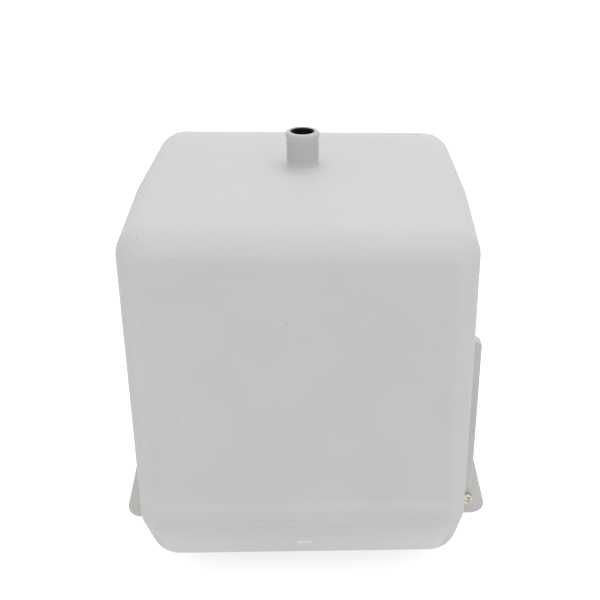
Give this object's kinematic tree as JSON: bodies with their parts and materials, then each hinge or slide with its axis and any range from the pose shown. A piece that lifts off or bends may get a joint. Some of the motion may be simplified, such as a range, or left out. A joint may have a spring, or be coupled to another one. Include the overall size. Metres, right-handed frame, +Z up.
{
  "type": "expansion vessel",
  "caption": "Milky moulded coolant header tank, a rounded box of welded halves with a hose neck on top, a chamfered front foot, side bolt flanges and a low rear outlet.",
  "frame": {"origin": "middle of the tank's width and depth, on the flat bottom it stands on", "axes": "+Z up, the front with the chamfered foot faces -Y, +X to the right seen from the front"},
  "size_m": [0.325, 0.286, 0.3643],
  "materials": {
    "milky_plastic": "milky translucent polyolefin with a fine satin moulded skin",
    "black_plastic": "plain black moulded tube",
    "passivated_steel": "turned steel with a yellow passivated zinc coat"
  },
  "bodies": {
    "root": {"front_shell": "milky_plastic", "rear_shell": "milky_plastic", "neck_sleeve": "black_plastic", "outlet_sleeve": "black_plastic", "lug_bush_left": "passivated_steel", "lug_bush_right": "passivated_steel", "upper_bush_left": "passivated_steel", "upper_bush_right": "passivated_steel"}
  },
  "joints": []
}
